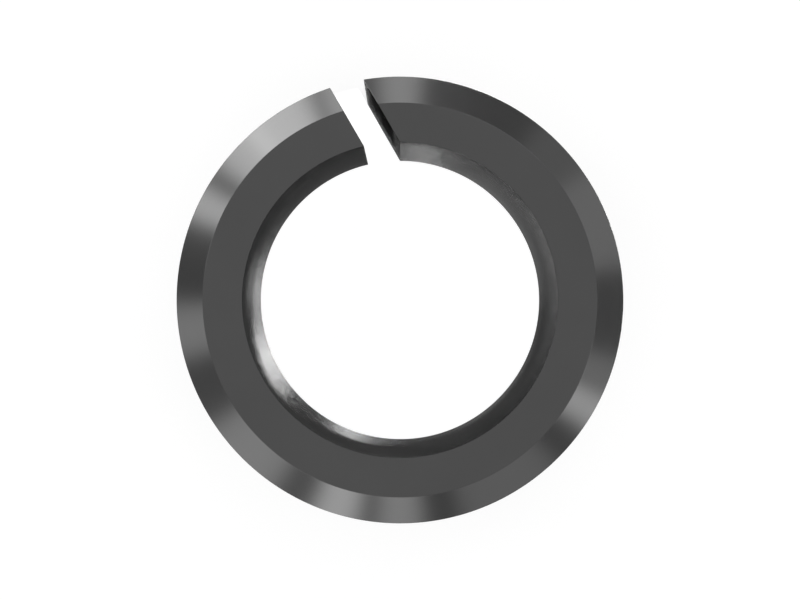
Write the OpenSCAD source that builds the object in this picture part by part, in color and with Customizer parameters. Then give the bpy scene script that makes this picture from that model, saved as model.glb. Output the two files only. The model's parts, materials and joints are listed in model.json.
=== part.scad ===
// Slotted spring pin: a strip of spring steel rolled into a tube that is a little wider than its hole.
// The open slot lets the tube close up as it is driven in, and a taper at each end leads it into the hole.
// The pin stands on one end. Its origin is the centre of that end, and Z runs up its axis.

/* [Pin] */
// Diameter of the drilled hole that the pin is made for
hole_d = 5; // [4:0.5:12]
// How much wider than its hole the relaxed pin is
oversize = 0.4; // [0.2:0.05:0.5]
// Length from end face to end face
length = 30; // [12:1:80]
// Thickness of the rolled strip
wall = 0.8; // [0.6:0.05:1.2]

/* [Slot] */
// Width of the slot, from one edge of the strip to the other
slot_w = 0.4; // [0.2:0.05:0.8]
// Angle at which the slot leans away from a straight radial cut
slot_lean = 30; // [0:5:40]

/* [Tapered ends] */
// Length of the taper at each end
taper_len = 1; // [0.4:0.1:2]
// How much narrower than its hole the tip of each taper is
tip_clearance = 0.25; // [0.1:0.05:0.4]

/* [Hidden] */
$fn = 180;

// The relaxed tube
outer_r = (hole_d + oversize) / 2;
bore_r = outer_r - wall;
// Rim of each end face, where the taper starts
tip_r = (hole_d - tip_clearance) / 2;
// Distance from the axis to the slot's far wall, which meets the bore at its +Y side
slot_far = bore_r * sin(slot_lean);
// How far the cutter runs past the faces that it cuts
overcut = 1;

// Half section of the tube, from its bore to its tapered outside
module strip_section()
    polygon([
        [bore_r, 0],
        [tip_r, 0],
        [outer_r, taper_len],
        [outer_r, length - taper_len],
        [tip_r, length],
        [bore_r, length],
    ]);

// Parallel-sided slot, cut through one side of the tube along its whole length
module slot_cutter()
    rotate([0, 0, slot_lean])
        translate([slot_far - slot_w, 0, -overcut])
            cube([slot_w, outer_r + overcut, length + 2 * overcut]);

module spring_pin()
    color("#4d4d4d")
        difference() {
            rotate_extrude()
                strip_section();
            slot_cutter();
        }

spring_pin();
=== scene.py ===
# %% [markdown]
# # A slotted spring pin
# A spring pin is a strip of spring steel, rolled into a tube that is a little wider than the hole
# it is for. Driven into that hole, it closes up along its slot and then holds by its own spring.
# The packed model fixes every size and place. This lesson gives the pin its look: a fine mesh,
# blackened steel, and the studio that the steel mirrors.

# %% The packed model
import json
import math

import bpy
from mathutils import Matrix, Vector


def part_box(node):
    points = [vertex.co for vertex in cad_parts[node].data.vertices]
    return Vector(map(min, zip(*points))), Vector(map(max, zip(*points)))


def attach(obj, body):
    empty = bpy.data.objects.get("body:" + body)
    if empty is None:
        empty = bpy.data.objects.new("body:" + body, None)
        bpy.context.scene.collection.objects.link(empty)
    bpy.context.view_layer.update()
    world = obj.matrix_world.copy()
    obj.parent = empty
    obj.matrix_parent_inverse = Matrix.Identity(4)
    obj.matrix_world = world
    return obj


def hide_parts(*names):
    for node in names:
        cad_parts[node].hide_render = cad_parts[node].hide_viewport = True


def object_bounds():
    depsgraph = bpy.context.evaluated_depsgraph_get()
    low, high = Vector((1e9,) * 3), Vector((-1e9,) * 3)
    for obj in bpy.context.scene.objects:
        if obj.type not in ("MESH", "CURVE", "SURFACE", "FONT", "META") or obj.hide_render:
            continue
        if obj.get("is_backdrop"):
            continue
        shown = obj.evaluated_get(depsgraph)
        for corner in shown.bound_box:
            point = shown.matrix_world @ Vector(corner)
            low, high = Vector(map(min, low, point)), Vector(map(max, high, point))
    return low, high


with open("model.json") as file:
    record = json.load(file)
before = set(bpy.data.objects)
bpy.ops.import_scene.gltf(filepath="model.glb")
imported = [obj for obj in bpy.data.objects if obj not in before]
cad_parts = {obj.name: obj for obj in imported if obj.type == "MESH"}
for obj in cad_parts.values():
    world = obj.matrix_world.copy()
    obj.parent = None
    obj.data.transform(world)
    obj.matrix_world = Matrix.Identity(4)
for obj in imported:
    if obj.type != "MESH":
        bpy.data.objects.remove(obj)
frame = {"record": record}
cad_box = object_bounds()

print("the packed model's box in m:", cad_box)

# %% [markdown]
# ## Sizes
# A maker would read most of these off the drawing, so they come from the packed model: the box of
# the pin, and the two round interfaces that its record states. Only what the record can't say is
# written here, which is how wide the end faces are and how the slot runs. The slot isn't cut
# towards the axis. It leans, so that one of its walls meets the bore right at its +Y side.

# %% Sizes of the pin
MM = 0.001
low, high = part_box("spring_pin")
mounts = {mount["name"]: mount["dims"] for mount in frame["record"]["mounts"]}

length = high.z - low.z
outer_r = mounts["outer_wall"]["r_mm"] * MM
bore_r = mounts["bore"]["r_mm"] * MM
taper = (length - mounts["outer_wall"]["length_mm"] * MM) / 2
face_r = 2.375 * MM
slot_width = 0.4 * MM
slot_lean = math.radians(30)
slot_far = bore_r * math.sin(slot_lean)
slot_near = slot_far - slot_width

print(f"length {length / MM:.2f} mm, of which each taper takes {taper / MM:.2f} mm")
print(f"outside {2 * outer_r / MM:.2f} mm, bore {2 * bore_r / MM:.2f} mm")

# %% [markdown]
# ## The section of the wall
# Cut lengthwise, the wall of the pin is a long bar with six corners: two at each end face, and one
# where each taper runs out into the full width. The four at the ends are cut and stay crisp. The
# two shoulders are pressed, so they turn over a soft radius that catches a little light. A Bevel
# modifier could round them all, but it would have to guess which edges are meant on so long and
# thin a mesh. On a convex outline each corner is easy to round one by one. Every point also carries
# the direction that it faces, which lets the next step shrink the outline a little.

# %% Outline of the wall
QUARTER_TURN = math.pi / 2
FULL_TURN = 2 * math.pi
CUT_EDGE = 0.004 * MM
SHOULDER = 0.12 * MM
ARC_STEPS = 3
RING_SPACING = 1.0 * MM


def rounded_outline(corners, steps, spacing):
    """Points (r, z, facing r, facing z) of a convex outline, from its (r, z, rounding) corners."""
    points = []
    ones_before = corners[-1:] + corners[:-1]
    ones_after = corners[1:] + corners[:1]
    for before, corner, after in zip(ones_before, corners, ones_after):
        r, z, rounding = corner
        arriving = math.atan2(z - before[1], r - before[0]) - QUARTER_TURN
        leaving = math.atan2(after[1] - z, after[0] - r) - QUARTER_TURN
        turn = (leaving - arriving) % FULL_TURN
        middle = arriving + turn / 2
        reach = rounding / math.cos(turn / 2)
        centre = (r - reach * math.cos(middle), z - reach * math.sin(middle))
        for step in range(steps + 1):
            facing = arriving + turn * step / steps
            facing_r, facing_z = math.cos(facing), math.sin(facing)
            rounded = (centre[0] + rounding * facing_r, centre[1] + rounding * facing_z)
            points.append((*rounded, facing_r, facing_z))
        pieces = max(1, round(math.dist(corner[:2], after[:2]) / spacing))
        for piece in range(1, pieces):
            share = piece / pieces
            between = (r + (after[0] - r) * share, z + (after[1] - z) * share)
            points.append((*between, facing_r, facing_z))
    return points


wall_corners = [
    (bore_r, 0, CUT_EDGE),
    (face_r, 0, CUT_EDGE),
    (outer_r, taper, SHOULDER),
    (outer_r, length - taper, SHOULDER),
    (face_r, length, CUT_EDGE),
    (bore_r, length, CUT_EDGE),
]
outline = rounded_outline(wall_corners, ARC_STEPS, RING_SPACING)
print(f"the wall's outline has {len(outline)} points")

# %% [markdown]
# ## Rolling the strip
# The real pin starts as a flat strip, and rolling it brings its two edges to within a slot's width
# of each other. The mesh is made the same way: the outline is swept round the axis from one slot
# wall to the other. The slot walls are flat and lean, so the sweep starts and ends at an angle that
# depends on the radius. Cutting the slot out of a full tube would need a Boolean modifier, which
# leaves long thin faces along the cut and spoils the shading there. Close to each wall the outline
# rolls over a quarter circle, which breaks the strip's sharp edges. Blender would guess how the
# surface faces from the faces round each point, and tint the flats next to every edge. The sweep
# knows it exactly, so it hands the facing over as custom normals.

# %% The rolled strip
TURN_STEPS = 480
HALFWAY = 0.5


def wall_azimuth(radius, offset):
    """Where a flat face that leans as the slot does meets a cylinder. Clockwise from +Y."""
    return math.asin(offset / radius) - slot_lean


def sweep_stations():
    """One (share of the turn, roll) for each copy of the outline. A slot wall itself has roll 0."""
    arc = [QUARTER_TURN * step / ARC_STEPS for step in range(ARC_STEPS)]
    middle = [(step / TURN_STEPS, QUARTER_TURN) for step in range(TURN_STEPS + 1)]
    return [(0.0, roll) for roll in arc] + middle + [(1.0, roll) for roll in reversed(arc)]


def rolled_strip(outline):
    """Points, facings and faces of the outline, swept from the far slot wall to the near one."""
    points, facings = [], []
    for share, roll in sweep_stations():
        shrink = CUT_EDGE * (1 - math.sin(roll))
        inset = CUT_EDGE * (1 - math.cos(roll))
        across = math.copysign(math.cos(roll), share - HALFWAY)
        for r, z, facing_r, facing_z in outline:
            radius = r - shrink * facing_r
            start = wall_azimuth(radius, slot_far + inset)
            end = wall_azimuth(radius, slot_near - inset) + FULL_TURN
            azimuth = start + (end - start) * share
            sine, cosine = math.sin(azimuth), math.cos(azimuth)
            points.append((radius * sine, radius * cosine, z - shrink * facing_z))
            outwards = facing_r * math.sin(roll)
            facings.append((outwards * sine + across * math.cos(slot_lean),
                            outwards * cosine + across * math.sin(slot_lean),
                            facing_z * math.sin(roll)))
    count = len(outline)
    last = len(points) - count
    faces = [tuple(reversed(range(count)))]
    for here in range(0, last, count):
        there = here + count
        for corner in range(count):
            following = (corner + 1) % count
            faces.append((here + corner, here + following, there + following, there + corner))
    faces.append(tuple(range(last, last + count)))
    return points, facings, faces


points, facings, faces = rolled_strip(outline)
mesh = bpy.data.meshes.new("rolled_pin")
mesh.from_pydata(points, [], faces)
mesh.shade_smooth()
mesh.normals_split_custom_set_from_vertices(facings)
pin = bpy.data.objects.new("rolled_pin", mesh)
bpy.context.scene.collection.objects.link(pin)
print(f"the pin has {len(mesh.vertices)} vertices and {len(mesh.polygons)} faces")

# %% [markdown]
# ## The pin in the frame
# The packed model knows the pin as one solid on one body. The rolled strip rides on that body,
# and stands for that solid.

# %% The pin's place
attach(pin, "root")
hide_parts("spring_pin")
print(pin.name, "rides on root and stands for spring_pin")

# %% [markdown]
# ## A shorthand for shader nodes
# Blender draws a material as a net of nodes. Written out one by one, a simple sum fills half a
# page. Wrapping a socket in a small class lets Python's own signs add the Math nodes, so a pattern
# reads as a formula.

# %% Shader sockets that can be added and scaled


class Wire:
    """One socket in a shader tree, which Python's own signs can add, subtract and scale."""

    def __init__(self, tree, socket=None):
        self.tree = tree
        self.socket = socket

    def node(self, kind, settings=None, sockets=None, out=0):
        """Add a node: its settings first, then the values or wires of its sockets."""
        made = self.tree.nodes.new("ShaderNode" + kind)
        for name, value in (settings or {}).items():
            setattr(made, name, value)
        for name, value in (sockets or {}).items():
            if isinstance(value, Wire):
                self.tree.links.new(value.socket, made.inputs[name])
            else:
                made.inputs[name].default_value = value
        return Wire(self.tree, made.outputs[out])

    def into(self, node, name):
        """Plug this wire into a node that is there already."""
        self.tree.links.new(self.socket, node.inputs[name])

    def math(self, operation, *values):
        """A Math node on two values or wires."""
        return self.node("Math", {"operation": operation}, dict(enumerate(values)))

    def __add__(self, other):
        return self.math("ADD", self, other)

    def __radd__(self, other):
        return self.math("ADD", other, self)

    def __sub__(self, other):
        return self.math("SUBTRACT", self, other)

    def __rsub__(self, other):
        return self.math("SUBTRACT", other, self)

    def __mul__(self, other):
        return self.math("MULTIPLY", self, other)

    def __rmul__(self, other):
        return self.math("MULTIPLY", other, self)

    def ease(self, start, end):
        """A soft step from 0 at start to 1 at end. It falls where start lies above end."""
        return self.node("MapRange", {"interpolation_type": "SMOOTHSTEP"},
                         {"Value": self, "From Min": start, "From Max": end})

    def stretch(self, *sizes):
        """A vector wire with its x, y and z each multiplied by their own number."""
        return self.node("VectorMath", {"operation": "MULTIPLY"}, {0: self, 1: sizes})

    def dot(self, *direction):
        """How far a vector wire points along a direction."""
        return self.node("VectorMath", {"operation": "DOT_PRODUCT"},
                         {0: self, 1: direction}, "Value")

    def length(self):
        """How long a vector wire is."""
        return self.node("VectorMath", {"operation": "LENGTH"}, {0: self}, "Value")

    def noise(self, scale, detail):
        """Cloudy noise of that many patches per unit, from 0 to 1 with most of it near 0.5."""
        return self.node("TexNoise", None, {"Vector": self, "Scale": scale, "Detail": detail})


print("a wire can be", ", ".join(name for name in vars(Wire) if not name.startswith("_")))

# %% [markdown]
# ## Patterns in the skin
# Spring steel is hardened and then blackened in a bath of hot salts, which leaves a thin skin of
# dark iron oxide. The bath leaves faint clouds in it. Drawing and rolling the strip leave soft
# bands and streaks along the pin, the rolls leave fine lines on the outside, and the bore, which no
# roll has polished, stays a little mottled. All five are the same noise, each at its own scale and
# drawn out along the pin by its own amount. A row says how many patches there are in a millimetre
# across the pin, how many times as many along it, and how fine their detail goes. The noise reads
# the pin's own millimetres, which keeps the scale right wherever the pin goes. An image of steel
# wrapped round the pin would do too, but it would need a seam and would blur close up.

# %% Patterns in the skin
CLOUDS = (1.2, 0.3, 4)
BANDS = (2.5, 0.015, 2)
STREAKS = (7, 0.02, 1)
MOTTLE = (5, 0.03, 2)
LINES = (12, 0.012, 3)
PATTERNS = (CLOUDS, BANDS, STREAKS, LINES, MOTTLE)
NOISE_MIDDLE = 0.5


def pattern(in_mm, per_mm, squeeze, detail):
    """Noise round 0: per_mm patches in a mm across the pin, and squeeze times as many along it."""
    return in_mm.stretch(1, 1, squeeze).noise(per_mm, detail) - NOISE_MIDDLE


print("the finest lines are", round(1 / LINES[0], 2), "mm apart")

# %% [markdown]
# ## Blackened steel
# The skin of oxide is still metal to the eye: it mirrors softly, and most of what it mirrors is
# lost in the black. So the shader is fully metallic, with a base colour that sends back about a
# thirteenth of the light head on and far more at a flat angle. Dark paint would be the other way,
# but paint stays dark at a flat angle, and the bore is seen at hardly anything else. The ends are
# cut and the tapers pressed after the strip is rolled, so a mask from the surface's own direction
# keeps the streaks off them. Two more masks, from the distance to the axis, keep the fine lines on
# the outside and the mottling in the bore. Clouds and mottling may polish a spot, but a limit on
# the roughness lets them dull it hardly at all.

# %% Blackened steel
OXIDE = 0.075
OXIDE_SPREAD = 0.3
SATIN = 0.24
RELIEF_DEPTH = 0.004 * MM
CUT_FACING, WALL_FACING = 0.28, 0.08
SKIN_FADE_MM = (0.1, 0.02)
EVEN_TONE = 0.5
CUT_CLOUD_TONE, WALL_CLOUD_TONE = 0.2, 0.8
STREAK_TONE, LINE_TONE, BAND_TONE = 0.8, 2.0, 0.8
CLOUD_ROUGHNESS, MOTTLE_ROUGHNESS, LINE_ROUGHNESS = 0.1, 0.1, 0.3
DULLEST = 0.25
STREAK_RELIEF = 2


def grey(level):
    """An opaque grey of that brightness."""
    return (level, level, level, 1)


def blackened_steel():
    """The pin's one finish, as a Principled shader with a mottled skin."""
    material = bpy.data.materials.new("blackened_steel")
    material.use_nodes = True
    tree = material.node_tree
    shader = tree.nodes["Principled BSDF"]
    shader.inputs["Metallic"].default_value = 1.0
    start = Wire(tree)
    in_mm = start.node("TexCoord", out="Object").stretch(1 / MM, 1 / MM, 1 / MM)
    clouds, bands, streaks, lines, mottle = [pattern(in_mm, *each) for each in PATTERNS]

    facing_up = start.node("TexCoord", out="Normal").dot(0, 0, 1)
    wall = facing_up.math("ABSOLUTE", facing_up).ease(CUT_FACING, WALL_FACING)
    from_axis = in_mm.stretch(1, 1, 0).length()
    rolled = wall * from_axis.ease(*[outer_r / MM - depth for depth in SKIN_FADE_MM])
    bore = from_axis.ease(*[bore_r / MM + depth for depth in SKIN_FADE_MM])

    tone = EVEN_TONE + clouds * (CUT_CLOUD_TONE + wall * WALL_CLOUD_TONE)
    tone = tone + wall * streaks * STREAK_TONE
    tone = tone + rolled * (lines * LINE_TONE + bands * BAND_TONE)
    oxide = start.node("Mix", {"data_type": "RGBA"}, {
        "Factor": tone,
        "A": grey(OXIDE * (1 - OXIDE_SPREAD)),
        "B": grey(OXIDE * (1 + OXIDE_SPREAD)),
    }, "Result")
    oxide.into(shader, "Base Color")
    satin = SATIN + wall * clouds * CLOUD_ROUGHNESS + bore * mottle * MOTTLE_ROUGHNESS
    satin = satin.math("MINIMUM", satin, DULLEST) + rolled * lines * LINE_ROUGHNESS
    satin.into(shader, "Roughness")
    height = wall * (bands + streaks * STREAK_RELIEF) + rolled * lines
    start.node("Bump", None, {"Distance": RELIEF_DEPTH, "Height": height}).into(shader, "Normal")
    return material


pin.data.materials.append(blackened_steel())
print("the steel's shader has", len(pin.data.materials[0].node_tree.nodes), "nodes")

# %% [markdown]
# ## The studio
# Dark satin steel shows hardly anything but what it mirrors, so the studio is half of its look. A
# real one is a room of soft boxes: tall panels round the table, a ring of narrow ones below its
# edge, and small lamps under a glass top. Here they are painted on the world, by the direction in
# which a mirrored ray leaves. Lamp objects would do too, but they are slower to sample, and the
# world shows no lamp shapes in the page. Straight up there is one even ceiling, of a level at which
# a colour renders as it is written. The belt of tall panels lights the sides of a standing pin. A
# taper that is seen from above mirrors the ring, and the bore mirrors the lamps, down past the
# pin's other end.

# %% The studio's zones
CEILING = 0.99
BELT_FILL = 0.6
RING_FILL = 0.14
UNDER_FILL = 0.07
RING_FADES_IN = (-0.93, -0.86)
RING_FADES_OUT = (-0.54, -0.64)
BELT_FADES_IN = (-0.7, -0.56)
BELT_FADES_OUT = (0.6, 0.35)
UNDER_FADES_OUT = (-0.97, -0.85)
CEILING_FADES_IN = (0.35, 0.6)

print("each zone fades in or out between two heights, where -1 is straight down and 1 straight up")

# %% [markdown]
# ## Panels and lamps
# Each panel is a row of three numbers, and each lamp a row of four. The angles are in degrees, and
# an azimuth is counted clockwise from the pin's +Y side, as seen from above. Panels stand upright,
# so only their azimuth and half width matter. A lamp also needs its tilt from straight down. The
# last number of a row is how much light it adds.

# %% Panels and lamps
BELT_EDGE = 6
RING_EDGE = 3
LAMP_EDGE = 0.7
UPRIGHT = 90
BELT_PANELS = [
    (20, 26, 1.7),
    (112, 9, 2.6),
    (204, 24, 1.5),
    (290, 10, 2.9),
]
RING_PANELS = [
    (0, 5, 0.95),
    (48, 9, 0.18),
    (69, 12.5, 0.43),
    (109, 2.5, 0.39),
    (120, 3.5, 1.35),
    (150, 14, 0.34),
    (180, 5, 0.83),
    (197, 5, 1.49),
    (225, 11, 0.68),
    (262, 6.5, 0.68),
    (296, 3.5, 1.73),
    (313, 6, 1.8),
    (327, 8.5, 2.1),
    (343, 2, 1.5),
]
UNDER_LAMPS = [
    (14, 20, 1.5, 7),
    (19.5, 16.5, 1.2, 22),
    (23, 14, 1, 6.5),
    (61, 9.5, 1.5, 6.2),
    (72, 12, 1.5, 8.1),
    (91, 18, 4.5, 2.9),
    (96, 9.5, 1.5, 1.3),
    (105, 16, 6, 0.14),
    (188, 7.9, 1, 2.1),
    (205, 11, 5, 0.06),
    (231, 21, 14, 0.19),
]


def patches(direction, rows, edge):
    """The light of soft round patches.

    Each row is (azimuth, tilt from straight down, half width, light). The edge is how many degrees
    a patch fades over, both ways from its half width.
    """
    total = 0.0
    for azimuth, tilt, half_width, light in rows:
        turn, lean = math.radians(azimuth), math.radians(tilt)
        outwards = math.sin(lean)
        along = direction.dot(outwards * math.sin(turn), outwards * math.cos(turn), -math.cos(lean))
        outer, inner = math.radians(half_width + edge), math.radians(max(half_width - edge, 0))
        total = total + light * along.ease(math.cos(outer), math.cos(inner))
    return total


def panels(level, rows, edge):
    """The light of upright panels, from rows of (azimuth, half width, light)."""
    upright_rows = [(azimuth, UPRIGHT, half_width, light) for azimuth, half_width, light in rows]
    return patches(level, upright_rows, edge)


print(f"{len(BELT_PANELS)} tall panels, {len(RING_PANELS)} narrow ones",
      f"and {len(UNDER_LAMPS)} lamps")

# %% [markdown]
# ## The world
# The zones add up to one number, the strength of the world's light in each direction. The camera
# looks past all of it and sees plain white, which Light Path tells apart from every other ray. The
# steel keeps the panels in its mirror: a white room on all sides would drown the soft bands by
# which an eye reads its shape.

# %% The world


def studio():
    """A world that is white to the camera, and a studio of soft boxes to everything else."""
    world = bpy.data.worlds.new("studio")
    world.use_nodes = True
    tree = world.node_tree
    background = tree.nodes["Background"]
    background.inputs["Color"].default_value = grey(1)
    start = Wire(tree)
    towards = start.node("TexCoord", out="Generated")
    height = towards.dot(0, 0, 1)
    level = start.node("VectorMath", {"operation": "NORMALIZE"}, {0: towards.stretch(1, 1, 0)})

    ring = height.ease(*RING_FADES_IN) * height.ease(*RING_FADES_OUT)
    belt = height.ease(*BELT_FADES_IN) * height.ease(*BELT_FADES_OUT)
    fill = UNDER_FILL + (RING_FILL - UNDER_FILL) * height.ease(*UNDER_FADES_OUT)
    fill = fill + (BELT_FILL - RING_FILL) * height.ease(*BELT_FADES_IN)
    light = fill + patches(towards, UNDER_LAMPS, LAMP_EDGE)
    light = light + ring * panels(level, RING_PANELS, RING_EDGE)
    light = light + belt * panels(level, BELT_PANELS, BELT_EDGE)

    above = height.ease(*CEILING_FADES_IN)
    light = light * (1 - above) + CEILING * above
    seen = start.node("LightPath", out="Is Camera Ray")
    (seen + (1 - seen) * light).into(background, "Strength")
    return world


bpy.context.scene.world = studio()
print("the studio's shader has", len(bpy.context.scene.world.node_tree.nodes), "nodes")

# %% [markdown]
# ## The page
# The pin stands on a white page. A white that is lit by the studio would be grey in one place and
# glare in another, so most of its white is a glow that only the camera sees, and a thin coat of
# matt paint on top takes the shadow. Close round the foot the glow sinks in a ring: that ring is a
# painted contact shadow, which deepens the real one that the paint takes. Through the bore and the
# slot the page lies in the pin's own deep shade. There the
# glow is full, so that the openings read as clear holes. The steel doesn't mirror the page, because
# the lamps of the studio are below it.

# %% The page
PAGE_SIZE = 1.5
PAGE_GAP = 0.01 * MM
PAGE_GLOW = 0.76
# Round the pin's foot the glow sinks to this level and rises again by the end of the ring: a painted contact
# shadow.
PAINTED_SHADOW_GLOW = 0.4
PAGE_PAINT = 0.3
PAINTED_SHADOW_END = 1.12 * outer_r
SLOT_FADE = (0, 0.5 * bore_r)
MOUTH_FADE = (1.2 * outer_r, 1.05 * outer_r)


def paper():
    """White paper: a camera glow with a painted contact shadow round the foot, and matt paint for the
    shadow.
    """
    material = bpy.data.materials.new("paper")
    material.use_nodes = True
    tree = material.node_tree
    tree.nodes.remove(tree.nodes["Principled BSDF"])
    start = Wire(tree)
    place = start.node("TexCoord", out="Object")
    from_axis = place.length()
    out = place.dot(-math.sin(slot_lean), math.cos(slot_lean), 0)
    across = place.dot(math.cos(slot_lean), math.sin(slot_lean), 0)

    in_bore = from_axis.math("LESS_THAN", from_axis, bore_r)
    in_slot = across.math("COMPARE", across, (slot_near + slot_far) / 2, slot_width / 2)
    in_slot = in_slot * out.ease(*SLOT_FADE) * from_axis.ease(*MOUTH_FADE)
    # The glow sinks in a ring round the foot: a painted contact shadow, there under any light.
    glow = PAINTED_SHADOW_GLOW + (PAGE_GLOW - PAINTED_SHADOW_GLOW) * from_axis.ease(face_r, PAINTED_SHADOW_END)
    glow = glow.math("MAXIMUM", glow, in_bore.math("MAXIMUM", in_bore, in_slot))

    seen = start.node("LightPath", out="Is Camera Ray")
    white = start.node("Emission", None, {"Color": grey(1), "Strength": seen * glow})
    matt = start.node("BsdfDiffuse", None, {"Color": grey(PAGE_PAINT)})
    both = start.node("AddShader", None, {0: white, 1: matt})
    both.into(tree.nodes["Material Output"], "Surface")
    return material


half = PAGE_SIZE / 2
page_mesh = bpy.data.meshes.new("page")
page_corners = [(-half, -half, 0), (half, -half, 0), (half, half, 0), (-half, half, 0)]
page_mesh.from_pydata(page_corners, [], [(0, 1, 2, 3)])
page_mesh.materials.append(paper())
page = bpy.data.objects.new("page", page_mesh)
page.location.z = -PAGE_GAP
page.visible_glossy = False
page.visible_shadow = False
bpy.context.scene.collection.objects.link(page)
page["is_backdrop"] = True
print(f"the page is {PAGE_SIZE} m across and lies {PAGE_GAP / MM} mm under the pin")

# %% [markdown]
# ## The camera
# The camera hangs over the pin and looks straight down its axis. Its distance decides how much of
# the bore's wall shows, because the far end looks smaller than the near one. The lens then only
# sets the size of the picture. It follows from how many pixels the widest part of the pin would
# fill in the plane of its upper face.

# %% The camera
DISTANCE = 220.6 * MM
FRONT_RADIUS_PX = 224.47
IMAGE_WIDTH_PX = 800
SENSOR_WIDTH = 36
NEAREST, FARTHEST = 0.01, 2

camera_data = bpy.data.cameras.new("camera")
camera_data.sensor_width = SENSOR_WIDTH
camera_data.lens = FRONT_RADIUS_PX * DISTANCE / outer_r * SENSOR_WIDTH / IMAGE_WIDTH_PX
camera_data.clip_start = NEAREST
camera_data.clip_end = FARTHEST
camera = bpy.data.objects.new("camera", camera_data)
camera.location = (0, 0, length + DISTANCE)
bpy.context.scene.collection.objects.link(camera)
bpy.context.scene.camera = camera
bpy.context.scene.view_settings.view_transform = "Standard"
print(f"the lens is {camera_data.lens:.0f} mm long, and hangs {DISTANCE / MM:.1f} mm over the pin")

# %% [markdown]
# ## Sizes and the end
# The dressed pin may not outgrow the packed one, so both boxes are printed side by side.

# %% Sizes and the end
boxes = {"cad": [list(corner) for corner in cad_box], "visual": [list(corner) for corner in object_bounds()]}
for name, box in boxes.items():
    print(name, "box in mm:", [[round(c / MM, 3) for c in corner] for corner in box])
